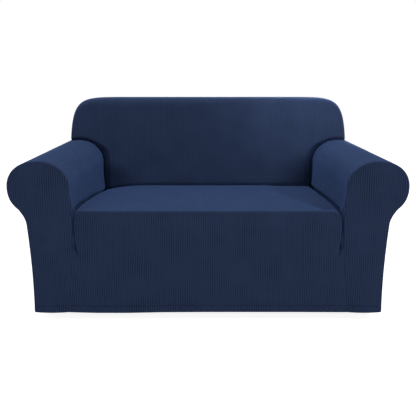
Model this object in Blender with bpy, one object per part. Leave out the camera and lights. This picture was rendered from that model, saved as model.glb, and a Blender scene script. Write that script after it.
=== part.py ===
"""One-piece stretch slipcover for a two-seat sofa with rolled arms, as ten sewn panels.

Each panel is a sheet of ribbed knit on the outer surface of the dressed sofa. X runs across,
Y from the front of the arms to the back, Z up. Panels are worked out in the sofa's own space,
with Y = 0 on the arm fronts and Z = 0 on the floor, and hang from one empty that puts the
origin where the sofa's back carries the cover: under the middle of its top.
"""

import math

import bpy
import numpy as np

# Cloth and sewing
CLOTH = 0.002
SEAM_GAP = 0.0006
HEM_DEPTH = 0.020
HEM_RAISE = 0.0008
KNIT_NAVY = (0.030, 0.048, 0.130)
KNIT_ROUGHNESS = 0.9

# Whole cover
REAR_Y = 0.830
HEM_Z = 0.040
HEM_DROP_AT_ARMS = 0.001
REAR_HEM_X = 0.695

# How far the apron's hem hangs below its line: place from the left seam (-1) to the right (1), drop
HEM_SAGS = (
    (-1.00, 0.001),
    (-0.80, 0.004),
    (-0.58, 0.004),
    (-0.32, 0.001),
    (0.00, 0.000),
    (0.60, 0.000),
    (1.00, 0.001),
)
MOUNT_Y = 0.775

# Seat
SEAT_Z = 0.458
SEAT_REAR_RISE = 0.005
SEAT_CROWN = 0.004
SIDE_TUCK_DEPTH = 0.010
REAR_TUCK_DEPTH = 0.005
TUCK_WIDTH = 0.040
CREASE_X = 0.522
CREASE_X_RUN = -0.028

# Front apron, which bulges over the seat cushion's front
APRON_HEM_X = 0.563
APRON_SEAM_CURVE = 1.5
CUSHION_OVERHANG = 0.010
CUSHION_OVERHANG_DEPTH = 0.020
CUSHION_BULGE = 0.018
CUSHION_FOOT_Z = 0.180
CUSHION_FULL_Z = 0.380
CUSHION_EDGE_POWER = 12
CUSHION_TOP_ROUND = 0.40

# Arm: an ellipse for the roll, on a wall that ends at the hem
ROLL_X = 0.659
ROLL_X_RUN = -0.040
ROLL_Z = 0.548
ROLL_Z_RUN = 0.039
ROLL_OUTER_WIDTH = 0.126
ROLL_INNER_WIDTH = 0.119
ROLL_HALF_HEIGHT = 0.105
ROLL_HALF_DEPTH = 0.111
ROLL_OUTER_POWER = 2.2
ROLL_INNER_POWER = 2.0
ROLL_LOWER_ANGLE = math.radians(-48)
NECK_X = 0.716
NECK_Z = 0.404
NECK_X_RUN = -0.020
NECK_Z_RUN = 0.030
ARM_HEM_X = 0.703
ARM_SIDE_HOLLOW = 0.005
ARM_FRONT_CROWN = 0.007

# Back: a rounded box whose front leans back
BACK_HALF_WIDTH = 0.697
BACK_TOP_Z = 0.885
BACK_BASE_Z = 0.450
BACK_SIDE_POWER = 13.5
BACK_TOP_POWER = 7.5
BACK_REACH_POWER = 10
BACK_FRONT_Y = 0.603
BACK_LEAN = 0.235
BACK_CROWN = 0.008
BACK_ROUND_FROM = 0.875
REAR_CROWN = 0.006

# Steps of the sheets
INNER_FACE_STEPS = 4
ROLL_INNER_STEPS = 13
ROLL_OUTER_STEPS = 11
NECK_STEPS = 3
ARM_DEPTH_STEPS = 8
SIDE_STEPS = 8
SEAT_ACROSS_STEPS = 20
SEAT_DEPTH_STEPS = 11
APRON_STEPS = 11
BACK_UP_STEPS = 12
REAR_ACROSS_STEPS = 12
RIM_STEPS = 2001
CLOSING_IN = 1.5
ARM_FRONT_ACROSS_STEPS = 8
ARM_FRONT_TOP = math.radians(45)


def clear_scene():
    for obj in list(bpy.data.objects):
        bpy.data.objects.remove(obj, do_unlink=True)


def knit_material():
    """Matt navy knit, one cloth for all the panels."""
    material = bpy.data.materials.new("ribbed_knit")
    material.use_nodes = True
    shader = material.node_tree.nodes["Principled BSDF"]
    shader.inputs["Base Color"].default_value = (*KNIT_NAVY, 1.0)
    shader.inputs["Roughness"].default_value = KNIT_ROUGHNESS
    shader.inputs["Metallic"].default_value = 0.0
    material.diffuse_color = (*KNIT_NAVY, 1.0)
    return material


def smooth(value):
    """0 to 1 with level ends."""
    value = np.clip(value, 0.0, 1.0)
    return value * value * (3.0 - 2.0 * value)


def along(points, fractions):
    """Points at these fractions of the length of a polyline."""
    points = np.asarray(points, float)
    lengths = np.linalg.norm(np.diff(points, axis=0), axis=1)
    reach = np.concatenate([[0.0], np.cumsum(lengths)])
    wanted = np.asarray(fractions) * reach[-1]
    columns = [np.interp(wanted, reach, points[:, axis]) for axis in range(points.shape[1])]
    return np.stack(columns, axis=-1)


def fractions_of(points):
    """How far along its polyline each point lies, from 0 to 1."""
    lengths = np.linalg.norm(np.diff(np.asarray(points), axis=0), axis=1)
    reach = np.concatenate([[0.0], np.cumsum(lengths)])
    return reach / reach[-1]


def patch_between(bottom, top, left, right, across, up):
    """Four-sided patch blended from its edges; left and right run from bottom to top."""
    u = np.asarray(across)[None, :, None]
    v = np.asarray(up)[:, None, None]
    sides = (1 - u) * left[:, None, :] + u * right[:, None, :]
    ends = (1 - v) * bottom[None, :, :] + v * top[None, :, :]
    corners = (1 - v) * ((1 - u) * bottom[0] + u * bottom[-1])
    corners = corners + v * ((1 - u) * top[0] + u * top[-1])
    return sides + ends - corners


# ---- The arm's surface


def roll_centre(y):
    return ROLL_X + ROLL_X_RUN * y, ROLL_Z + ROLL_Z_RUN * y


def roll_point(angle, y, inset=0.0):
    """Point of the roll at this angle, measured up from outboard, on the right-hand arm."""
    centre_x, centre_z = roll_centre(y)
    outboard = np.cos(angle) > 0
    power = 2.0 / np.where(outboard, ROLL_OUTER_POWER, ROLL_INNER_POWER)
    half_x = np.where(outboard, ROLL_OUTER_WIDTH, ROLL_INNER_WIDTH)
    half_z = np.where(np.sin(angle) > 0, ROLL_HALF_HEIGHT, ROLL_HALF_DEPTH)
    reach_x = np.sign(np.cos(angle)) * np.abs(np.cos(angle)) ** power
    reach_z = np.sign(np.sin(angle)) * np.abs(np.sin(angle)) ** power
    return centre_x + (half_x - inset) * reach_x, centre_z + (half_z - inset) * reach_z


def crease(y):
    """Where the inside of the arm meets the seat."""
    return CREASE_X + CREASE_X_RUN * y, SEAT_Z + SEAT_REAR_RISE * y / BACK_FRONT_Y - SIDE_TUCK_DEPTH


def neck(y):
    return NECK_X + NECK_X_RUN * y, NECK_Z + NECK_Z_RUN * y


def side_hem_x(y):
    return ARM_HEM_X + (REAR_HEM_X - ARM_HEM_X) * y / REAR_Y


def inner_face_point(part, y, inset=0.0):
    """The face beside the seat, from the crease (0) to the roll (1)."""
    foot_x, foot_z = crease(y)
    top_x, top_z = roll_point(math.pi, y, inset)
    lean = 1.0 - (1.0 - part) ** 2
    return foot_x + inset + (top_x - foot_x - inset) * lean, foot_z - inset + (top_z - foot_z + inset) * part


def neck_point(part, y):
    """The hollow under the roll, from the roll (0) to the seam at the neck (1)."""
    start_x, start_z = roll_point(ROLL_LOWER_ANGLE, y)
    end_x, end_z = neck(y)
    bend_z = end_z + 0.45 * (start_z - end_z)
    x = (1 - part) ** 2 * start_x + 2 * part * (1 - part) * (end_x + 0.004) + part**2 * end_x
    z = (1 - part) ** 2 * start_z + 2 * part * (1 - part) * bend_z + part**2 * end_z
    return x, z


def side_point(part, y):
    """The outside of the arm, from the neck (0) to the hem (1)."""
    top_x, top_z = neck(y)
    low_x = side_hem_x(y)
    hem_z = HEM_Z - HEM_DROP_AT_ARMS * (1 - y / REAR_Y)
    hollow = ARM_SIDE_HOLLOW * np.sin(math.pi * part)
    raised = HEM_RAISE * (top_z + (hem_z - top_z) * part < hem_z + HEM_DEPTH)
    return top_x + (low_x - top_x) * part - hollow + raised, top_z + (hem_z - top_z) * part


# ---- The back's surface


def back_y(x, z, grow=0.0):
    """How far back the cover's back lies: a leaning face whose edges round to the rear."""
    half_width = BACK_HALF_WIDTH + grow
    height = BACK_TOP_Z + grow - BACK_BASE_Z
    across = np.abs(x) / half_width
    up = np.maximum(z - BACK_BASE_Z, 0.0) / height
    reach = (across**BACK_SIDE_POWER + up**BACK_TOP_POWER) ** (1.0 / BACK_REACH_POWER)
    turn = np.clip((reach - BACK_ROUND_FROM) / (1.0 - BACK_ROUND_FROM), 0.0, 1.0)
    crown = BACK_CROWN * (1.0 - np.minimum(across, 1.0) ** 2)
    face = BACK_FRONT_Y + BACK_LEAN * (z - BACK_BASE_Z) - crown - grow
    return REAR_Y - (REAR_Y - face) * np.sqrt(1.0 - turn * turn)


def rim_points(low_z):
    """The back's outline on the right, from this height up to the corner and on to the middle."""
    turn = np.linspace(0.0, math.pi / 2, RIM_STEPS)
    x = BACK_HALF_WIDTH * np.cos(turn) ** (2.0 / BACK_SIDE_POWER)
    z = BACK_BASE_Z + (BACK_TOP_Z - BACK_BASE_Z) * np.sin(turn) ** (2.0 / BACK_TOP_POWER)
    keep = z > low_z
    corner = int(np.argmin(np.abs(turn[keep] - math.pi / 4)))
    return np.stack([x[keep], z[keep]], axis=-1), corner


def rear_limit():
    return REAR_Y - CLOTH - SEAM_GAP


def rim_angle():
    """The roll's angle where its inner side passes the back's side."""
    centre_x, _ = roll_centre(rear_limit())
    reach = (BACK_HALF_WIDTH + SEAM_GAP - centre_x) / (ROLL_OUTER_WIDTH - CLOTH)
    return math.acos(reach ** (ROLL_OUTER_POWER / 2.0))


def meet_back(line, grow):
    """Depth at which the inner side of a line of the arm runs into the back."""
    y = BACK_FRONT_Y
    for _ in range(12):
        x, z = arm_line_point(line, y, CLOTH)
        y = min(float(back_y(x, z, grow)), rear_limit())
    return y


def arm_lines():
    """The lines that run along the inside and over the arm, inner ones first."""
    lines = [("inner", part) for part in np.linspace(0.0, 1.0, INNER_FACE_STEPS + 1)[:-1]]
    closeness = 1.0 - (1.0 - np.linspace(0.0, 1.0, ROLL_INNER_STEPS + 1)) ** CLOSING_IN
    lines += [("roll", angle) for angle in math.pi + (rim_angle() - math.pi) * closeness]
    outer = np.linspace(rim_angle(), ROLL_LOWER_ANGLE, ROLL_OUTER_STEPS + 1)[1:]
    lines += [("roll", angle) for angle in outer]
    last = 1.0 - SEAM_GAP / (NECK_STEPS * 0.02)
    lines += [("neck", part) for part in np.linspace(0.0, last, NECK_STEPS + 1)[1:]]
    return lines


def arm_line_point(line, y, inset=0.0):
    kind, place = line
    if kind == "inner":
        return inner_face_point(place, y, inset)
    if kind == "roll":
        return roll_point(place, y, inset)
    return neck_point(place, y)


def back_lines():
    """The arm's lines that run into the back, outer ones first."""
    count = INNER_FACE_STEPS + ROLL_INNER_STEPS + 1
    return arm_lines()[:count][::-1]


# ---- The panels, as grids of points


def inside_arm_grid():
    """Right inside arm: from the seat's crease over the roll to the seam at the neck."""
    depth = np.linspace(0.0, 1.0, ARM_DEPTH_STEPS + 1)
    front = CLOTH + SEAM_GAP
    columns = []
    reaches_back = INNER_FACE_STEPS + ROLL_INNER_STEPS
    for index, line in enumerate(arm_lines()):
        end = rear_limit()
        if index < reaches_back:
            end = meet_back(line, SEAM_GAP)
        y = front + (end - front) * depth
        x, z = arm_line_point(line, y)
        columns.append(np.stack([x, y, z], axis=-1))
    return np.stack(columns)


def outside_arm_grid():
    """Right outside arm: from the seam at the neck down to the hem."""
    part = np.linspace(0.0, 1.0, SIDE_STEPS + 1)[:, None]
    hem_start = 1.0 - HEM_DEPTH / (NECK_Z - HEM_Z)
    part = np.insert(part, SIDE_STEPS, hem_start, axis=0)
    y = np.linspace(CLOTH + SEAM_GAP, rear_limit(), ARM_DEPTH_STEPS + 1)[None, :]
    x, z = side_point(part, y)
    return np.stack([x, y + 0 * x, z], axis=-1)


def seam_x(z):
    """Seam between the apron and the right arm front: round the cushion, then out to the hem."""
    fall = np.maximum(SEAT_Z - z, 0.0)
    overhang = CUSHION_OVERHANG * (1.0 - np.exp(-fall / CUSHION_OVERHANG_DEPTH))
    spread = APRON_HEM_X - CREASE_X - CUSHION_OVERHANG
    return CREASE_X + overhang + spread * (fall / (SEAT_Z - HEM_Z)) ** APRON_SEAM_CURVE


def hem_drop(across, z):
    """How much lower the front hangs here, easing in from the cushion's foot to the hem."""
    place, drop = zip(*HEM_SAGS)
    ease = np.clip((CUSHION_FOOT_Z - z) / (CUSHION_FOOT_Z - HEM_Z), 0.0, 1.0)
    return np.interp(across, place, drop) * ease


def apron_y(across, z):
    """Front of the apron; across runs from -1 to 1 between its two seams."""
    rise = smooth((z - CUSHION_FOOT_Z) / (CUSHION_FULL_Z - CUSHION_FOOT_Z))
    turn_in = CUSHION_TOP_ROUND * smooth((z - CUSHION_FULL_Z) / (SEAT_Z - CUSHION_FULL_Z))
    side = 1.0 - np.abs(across) ** CUSHION_EDGE_POWER
    return -CUSHION_BULGE * (rise - turn_in) * side


def seat_stations():
    """Across the seat from -1 to 1, closer together beside the arms."""
    return np.sin(np.linspace(-math.pi / 2, math.pi / 2, SEAT_ACROSS_STEPS + 1))


def apron_heights():
    """Rows of the apron: the hem, then closer together towards the seat's edge."""
    closeness = 1.0 - (1.0 - np.linspace(0.0, 1.0, APRON_STEPS)) ** CLOSING_IN
    hem_top = HEM_Z + HEM_DEPTH
    return np.concatenate([[HEM_Z], hem_top + (SEAT_Z - hem_top) * closeness])


def apron_grid():
    across = seat_stations()[None, :]
    z = apron_heights()[:, None]
    x = across * (seam_x(z) - SEAM_GAP / 2)
    y = apron_y(across, z) - HEM_RAISE * (z < HEM_Z + HEM_DEPTH)
    return np.stack([x, y, z - hem_drop(across, z)], axis=-1)


def rear_tuck_z(across):
    """Height of the seat where it meets the back, lower in its two corners."""
    corner = smooth((np.abs(across) - 1.0) * CREASE_X / TUCK_WIDTH + 1.0)
    depth = np.maximum(REAR_TUCK_DEPTH, SIDE_TUCK_DEPTH * corner)
    return SEAT_Z + SEAT_REAR_RISE - depth


def seat_grid():
    """Deck of the seat, drawn down a little where it is tucked in beside the arms and the back."""
    across = seat_stations()[None, :]
    depth = (1.0 - np.cos(np.linspace(0.0, math.pi, SEAT_DEPTH_STEPS + 1)))[:, None] / 2
    front = apron_y(across, SEAT_Z) + CLOTH + 2.0 * SEAM_GAP
    rear_z = rear_tuck_z(across)
    rear = back_y(across * crease(BACK_FRONT_Y)[0], rear_z - CLOTH, SEAM_GAP)
    y = front + (rear - front) * depth
    crease_x, _ = crease(y)
    x = across * (crease_x - SEAM_GAP)
    side_tuck = SIDE_TUCK_DEPTH * smooth((np.abs(x) - crease_x) / TUCK_WIDTH + 1.0)
    rear_tuck = REAR_TUCK_DEPTH * smooth((y - rear) / TUCK_WIDTH + 1.0)
    tuck = np.maximum(side_tuck, rear_tuck) * smooth(y / TUCK_WIDTH)
    crown = SEAT_CROWN * (1.0 - across**2) * np.sin(math.pi * np.clip(y / BACK_FRONT_Y, 0.0, 1.0))
    z = SEAT_Z + SEAT_REAR_RISE * y / BACK_FRONT_Y - tuck + crown
    return np.stack([x, y, z], axis=-1)


def back_foot():
    """Lower edge of the inside back: round the right arm's roll and down to the seat."""
    points = []
    for line in back_lines():
        x, z = arm_line_point(line, meet_back(line, 0.0), CLOTH)
        points.append((min(x, BACK_HALF_WIDTH), z))
    return np.array(points, float)


def inside_back_grid():
    right = back_foot()
    left = right * (-1.0, 1.0)
    across = seat_stations()[1:-1]
    seat = np.stack([across * right[-1][0], rear_tuck_z(across) - CLOTH], axis=-1)
    bottom = np.concatenate([left, seat, right[::-1]])
    rim, corner = rim_points(right[0][1])
    rim = np.concatenate([right[:1], rim])
    up = 1.0 - (1.0 - np.linspace(0.0, 1.0, BACK_UP_STEPS + 1)) ** CLOSING_IN
    right_side = along(rim[: corner + 2], up)
    half_top = rim[corner + 1 :]
    top_line = np.concatenate([half_top * (-1.0, 1.0), half_top[::-1]])
    across = fractions_of(bottom)
    top = along(top_line, across)
    left_side = right_side * (-1.0, 1.0)
    flat = patch_between(bottom, top, left_side, right_side, across, up)
    y = np.minimum(back_y(flat[..., 0], flat[..., 1]), rear_limit())
    return np.stack([flat[..., 0], y, flat[..., 1]], axis=-1)


def rear_outline():
    """Right edge of the outside back: hem, side, roll, then the back's side to its corner."""
    side_parts = np.linspace(1.0, 0.0, SIDE_STEPS + 1)
    points = [side_point(part, REAR_Y) for part in side_parts]
    points += [neck_point(part, REAR_Y) for part in np.linspace(1.0, 0.0, NECK_STEPS + 1)[1:]]
    roll = np.linspace(ROLL_LOWER_ANGLE, rim_angle(), ROLL_OUTER_STEPS + 1)[1:]
    points += [roll_point(angle, REAR_Y) for angle in roll]
    rim, corner = rim_points(points[-1][1] + SEAM_GAP)
    side_rim = along(rim[: corner + 1], np.linspace(0.0, 1.0, 7))
    return np.concatenate([np.array(points, float), side_rim[1:]]), rim[corner:]


def outside_back_grid():
    """Outside back: one panel from the hem to the top, as wide as the arms behind."""
    right, half_top = rear_outline()
    across = np.linspace(0.0, 1.0, REAR_ACROSS_STEPS + 1)
    top_line = np.concatenate([half_top * (-1.0, 1.0), half_top[::-1]])
    top = along(top_line, across)
    bottom = along([right[0] * (-1.0, 1.0), right[0]], across)
    up = fractions_of(right)
    flat = patch_between(bottom, top, right * (-1.0, 1.0), right, across, up)
    crown = REAR_CROWN * np.sin(math.pi * across)[None, :] * (1.0 - up[:, None] ** 6)
    hem = HEM_RAISE * (flat[..., 1] < HEM_Z + HEM_DEPTH)
    return np.stack([flat[..., 0], REAR_Y + crown + hem, flat[..., 1]], axis=-1)


def arm_front_grid():
    """Right arm front: its outline is the arm's section, from the hem to the top of the roll."""
    inner = [(seam_x(z) + SEAM_GAP / 2, z - hem_drop(1.0, z)) for z in apron_heights()]
    inner += [inner_face_point(part, 0.0) for part in np.linspace(0.0, 1.0, INNER_FACE_STEPS + 1)[1:]]
    turn = np.linspace(math.pi, math.pi - ARM_FRONT_TOP, 6)[1:]
    inner += [roll_point(angle, 0.0) for angle in turn]
    inner = np.array(inner, float)
    outer = [side_point(part, 0.0) for part in np.linspace(1.0, 0.0, SIDE_STEPS + 1)]
    outer += [neck_point(part, 0.0) for part in np.linspace(1.0, 0.0, NECK_STEPS + 1)[1:]]
    outer += [roll_point(angle, 0.0) for angle in np.linspace(ROLL_LOWER_ANGLE, ARM_FRONT_TOP, 12)]
    up = fractions_of(inner)
    outer = along(np.array(outer, float), up)
    arc = np.linspace(math.pi - ARM_FRONT_TOP, ARM_FRONT_TOP, ARM_FRONT_ACROSS_STEPS + 1)
    top = np.stack(roll_point(arc, 0.0), axis=-1)
    across = fractions_of(top)
    bottom = along([inner[0], outer[0]], across)
    flat = patch_between(bottom, top, inner, outer, across, up)
    hollow = 4.0 * across * (1.0 - across)
    crown = ARM_FRONT_CROWN * hollow[None, :] * (1.0 - up[:, None] ** 4)
    hem = HEM_RAISE * (flat[..., 1] < HEM_Z - HEM_DROP_AT_ARMS + HEM_DEPTH)
    return np.stack([flat[..., 0], -crown - hem, flat[..., 1]], axis=-1)


# ---- Making the panels


def sew_panel(name, grid, cover, material, mirrored=False, flipped=False):
    """A sheet on this grid of outer points, given the cloth's thickness on its inner side."""
    rows, columns, _ = grid.shape
    points = grid.reshape(-1, 3)
    if mirrored:
        points = points * (-1.0, 1.0, 1.0)
    corner = np.arange((rows - 1) * columns).reshape(rows - 1, columns)[:, :-1].reshape(-1)
    faces = np.stack([corner, corner + 1, corner + columns + 1, corner + columns], axis=-1)
    if mirrored != flipped:
        faces = faces[:, ::-1]
    mesh = bpy.data.meshes.new(name)
    mesh.from_pydata(points.tolist(), [], faces.tolist())
    mesh.shade_smooth()
    mesh.materials.append(material)
    panel = bpy.data.objects.new(name, mesh)
    bpy.context.collection.objects.link(panel)
    panel.parent = cover
    thickness = panel.modifiers.new("cloth", "SOLIDIFY")
    thickness.thickness = CLOTH
    thickness.offset = -1.0
    return panel


def mount_point():
    """Underside of the top of the back, at its middle: the height where the back lies at MOUNT_Y."""
    heights = np.linspace(BACK_BASE_Z, BACK_TOP_Z, 20001)
    reached = np.searchsorted(back_y(0.0, heights), MOUNT_Y)
    return 0.0, MOUNT_Y, float(heights[reached]) - CLOTH


def main():
    clear_scene()
    cover = bpy.data.objects.new("cover", None)
    bpy.context.collection.objects.link(cover)
    cover.location = [-value for value in mount_point()]
    knit = knit_material()
    sew_panel("front_apron", apron_grid(), cover, knit)
    sew_panel("seat_deck", seat_grid(), cover, knit)
    sew_panel("inside_back", inside_back_grid(), cover, knit)
    sew_panel("outside_back", outside_back_grid(), cover, knit, flipped=True)
    inside_arm, outside_arm, arm_front = inside_arm_grid(), outside_arm_grid(), arm_front_grid()
    for side, mirrored in (("left", True), ("right", False)):
        sew_panel(f"inside_arm_{side}", inside_arm, cover, knit, mirrored, flipped=True)
        sew_panel(f"outside_arm_{side}", outside_arm, cover, knit, mirrored, flipped=True)
        sew_panel(f"arm_front_{side}", arm_front, cover, knit, mirrored)


main()
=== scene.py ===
"""One-piece stretch slipcover for a two-seat sofa with rolled arms, in navy ribbed knit.

Each panel is a thin sheet worked out on a grid, over the solid that it stands for. Panels are laid out
in the sofa's own space, with X across, Y = 0 on the arm fronts and Z = 0 on the floor, and moved to the
part's frame, whose origin lies under the top of the back, as they are made.
"""

import math

import bpy
import numpy as np
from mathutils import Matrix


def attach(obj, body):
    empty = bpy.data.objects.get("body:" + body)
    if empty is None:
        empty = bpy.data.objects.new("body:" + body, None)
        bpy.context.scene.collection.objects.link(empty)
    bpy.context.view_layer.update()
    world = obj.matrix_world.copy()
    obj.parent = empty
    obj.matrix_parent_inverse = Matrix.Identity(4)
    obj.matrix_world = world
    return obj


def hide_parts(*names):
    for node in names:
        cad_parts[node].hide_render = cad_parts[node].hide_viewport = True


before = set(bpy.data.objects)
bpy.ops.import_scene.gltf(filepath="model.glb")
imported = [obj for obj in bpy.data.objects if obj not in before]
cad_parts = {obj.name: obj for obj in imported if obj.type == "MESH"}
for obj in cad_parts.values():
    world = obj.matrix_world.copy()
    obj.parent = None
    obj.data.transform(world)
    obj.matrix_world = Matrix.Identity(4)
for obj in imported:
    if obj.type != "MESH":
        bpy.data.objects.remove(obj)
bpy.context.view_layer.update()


# ---- Seat deck
# Top of the seat, in the one stretch knit that the whole cover is made of, with its ribs running from the
# back to the front. It is tucked in beside the arms and along the back, and goes over the cushion's front.

UNDER_TOP = (0.0, 0.775, 0.87667)
SEAT_Z = 0.458
SEAT_REAR_RISE = 0.006
SEAT_CROWN = 0.004
SEAT_DEPTH = 0.603
CREASE_X = 0.522
CREASE_X_RUN = -0.028
SLOT_DEPTH = 0.026
SLOT_FRONT_DEPTH = 0.010
SLOT_DEEPENING = 0.06
SLOT_ROUND = 0.018
SLOT_WIDTH = 0.018
SLOT_WIDENING = 0.03
SEAT_REAR_DEPTH = 0.016
SEAT_REAR_ROUND = 0.020
SEAT_REAR_TUCK = 0.016
SEAT_STEP = 0.010
EDGE_ROUND = 0.007

# Deck beside the arms: distance back, height over its plane on the left and right, how far in it reaches
SEAT_SIDES = (
    (0.00, 0.000, -0.014, 0.050, 0.040),
    (0.06, 0.009, -0.001, 0.090, 0.060),
    (0.14, 0.009, 0.004, 0.100, 0.080),
    (0.27, 0.003, 0.003, 0.120, 0.080),
    (0.40, -0.004, 0.000, 0.170, 0.120),
    (0.53, -0.018, -0.004, 0.200, 0.180),
    (0.60, -0.024, -0.006, 0.205, 0.200),
)

# Valley of a shallow fold on the deck's right: distance back, distance from the middle
RIGHT_VALLEY = ((0.00, 0.505), (0.05, 0.483), (0.22, 0.428), (0.40, 0.350), (0.60, 0.350))
RIGHT_VALLEY_DEPTH = 0.014
RIGHT_VALLEY_WIDTH = 0.080
RIGHT_VALLEY_OUTER_WIDTH = 0.01
RIGHT_VALLEY_START = 0.08
RIGHT_VALLEY_LOSS = 0.7
RIGHT_VALLEY_LOSS_Y = 0.30
RIGHT_VALLEY_LOSS_RUN = 0.25

# Front of the cushion under the apron, and its seam with the arm fronts, which is deeper higher up
CUSHION_BULGE = 0.018
CUSHION_FOOT_Z = 0.180
CUSHION_FULL_Z = 0.380
CUSHION_EDGE_POWER = 12
CUSHION_SIDE_ROUND = 0.026
CUSHION_TOP_ROUND = 0.40
FRONT_SEAM_DEPTH = 0.0015
FRONT_SEAM_DEEPER = 0.0125
FRONT_SEAM_DEEPER_Z = 0.330
FRONT_SEAM_DEEPER_RUN = 0.080

# Face of the back, which the deck runs up to
BACK_HALF_WIDTH = 0.683
BACK_TOP_Z = 0.885
BACK_BASE_Z = 0.450
BACK_SIDE_POWER = 17
BACK_TOP_POWER = 5.5
BACK_REACH_POWER = 10
BACK_TURN_POWER = 5.0
BACK_LEAN = 0.235
BACK_CROWN = 0.008
BACK_ROUND_FROM = 0.93
REAR_Y = 0.830

# The knit: ribs across it, rows of stitches along it
RIB_PITCH = 0.0087
RIB_PLACES = (0.0, 0.14, 0.32, 0.5, 0.68, 0.86)
RIB_DEPTH = 0.0009
WALES_TO_A_RIB = 3
COURSE_PITCH = 0.0021
STITCH_HEIGHT = 0.00025
CROWN_COLOUR = (0.034, 0.056, 0.126)
# The crown's colour above is the knit's own; this near-black is painted shade at the bottom of each rib's
# groove
GROOVE_SHADE_COLOUR = (0.004, 0.007, 0.018)
GROOVE_POWER = 0.6
SHEEN_COLOUR = (0.22, 0.42, 1.0, 1.0)
PATCH_SCALE = 9.0
PATCH_GAIN = 1.6
PATCH_SHIFT = -0.1
COURSE_SLANT = 0.4
GAP_ROUGHNESS = 0.95
STITCH_SMOOTHER = 0.15
SEAM_ALLOWANCE = 0.006
SEAM_LAP = 0.0015
SEAM_VALLEY = 0.0016
SEAM_VALLEY_WIDTH = 0.004
NEAR_A_SEAM = (0.0, 0.0012, 0.0028, 0.005, 0.008, 0.012, 0.017, 0.024)


def smooth(value):
    """0 to 1 with level ends: 3v2 - 2v3, held at its ends."""
    value = np.clip(value, 0.0, 1.0)
    return value * value * (3.0 - 2.0 * value)


def rounding(distance, depth, width):
    """How far a stuffed edge falls away at this distance from a crease: a quarter of an ellipse."""
    towards = 1.0 - np.clip(distance / width, 0.0, 1.0)
    return depth * (1.0 - np.sqrt(1.0 - towards * towards))


def rib_places(start, end):
    """Places across a panel, six to a rib with one on the bottom of each groove, from start to end."""
    whole = np.arange(math.floor(start / RIB_PITCH), math.ceil(end / RIB_PITCH))
    places = ((whole[:, None] + np.array(RIB_PLACES)) * RIB_PITCH).ravel()
    clear = RIB_PITCH / 20
    return np.concatenate([[start], places[(places > start + clear) & (places < end - clear)], [end]])


def groove(place, sharpness=0.5):
    """1 on the bottom of a rib's groove and 0 on its crown: 1 less a power of |sin|."""
    return 1.0 - np.abs(np.sin(math.pi * place / RIB_PITCH)) ** sharpness


def seam_valley(distance):
    """How far a sheet goes in at this distance from a seam: a bell curve."""
    return SEAM_VALLEY * np.exp(-((distance / SEAM_VALLEY_WIDTH) ** 2))


def rows_over(length, step, seam_at_start=True, seam_at_end=True):
    """Distances from 0 to this length, about a step apart, and closer together beside a seam."""
    near = np.array(NEAR_A_SEAM)
    low = near if seam_at_start else near[:1]
    high = length - (near if seam_at_end else near[:1])[::-1]
    count = max(2, round((high[0] - low[-1]) / step) + 1)
    return np.concatenate([low, np.linspace(low[-1], high[0], count)[1:-1], high])


def normals_of(grid):
    """Unit normals of a grid: the step across it crossed with the step along it."""
    normal = np.cross(np.gradient(grid, axis=1), np.gradient(grid, axis=0))
    return normal / np.maximum(np.linalg.norm(normal, axis=-1, keepdims=True), 1e-12)


def lengths_along(lines):
    """Distance of each point from the first of its line; a line is a column of points."""
    steps = np.linalg.norm(np.diff(lines, axis=0), axis=-1)
    return np.concatenate([np.zeros((1,) + steps.shape[1:]), np.cumsum(steps, axis=0)])


def resampled(lines, fractions):
    """Lines of points, one a column, taken again at these fractions of each one's length."""
    reach = lengths_along(lines)
    taken = []
    for column, lengths in enumerate(reach.T):
        wanted = fractions * lengths[-1]
        taken.append([np.interp(wanted, lengths, axis) for axis in lines[:, column].T])
    return np.array(taken).transpose(2, 0, 1)


def turned_in(points, normals, cloth, edge, lap):
    """The grid with one more line of points past an edge: a seam's allowance inwards, and on a little
    under the panel that it is sewn to."""
    axis, at_end = {"start": (0, False), "end": (0, True), "left": (1, False), "right": (1, True)}[edge]
    line = [np.take(grid, [-1 if at_end else 0], axis=axis) for grid in (points, normals, cloth)]
    onwards = line[0] - np.take(points, [-2 if at_end else 1], axis=axis)
    onwards = onwards / np.linalg.norm(onwards, axis=-1, keepdims=True)
    line[0] = line[0] - SEAM_ALLOWANCE * line[1] + lap * onwards
    grids = zip((points, normals, cloth), line)
    return [np.concatenate([grid, extra] if at_end else [extra, grid], axis=axis) for grid, extra in grids]


def grid_faces(rows, columns):
    """Quads of a grid whose points are numbered row by row."""
    corner = np.arange((rows - 1) * columns).reshape(rows - 1, columns)[:, :-1].ravel()
    return np.stack([corner, corner + 1, corner + columns + 1, corner + columns], axis=-1)


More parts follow.
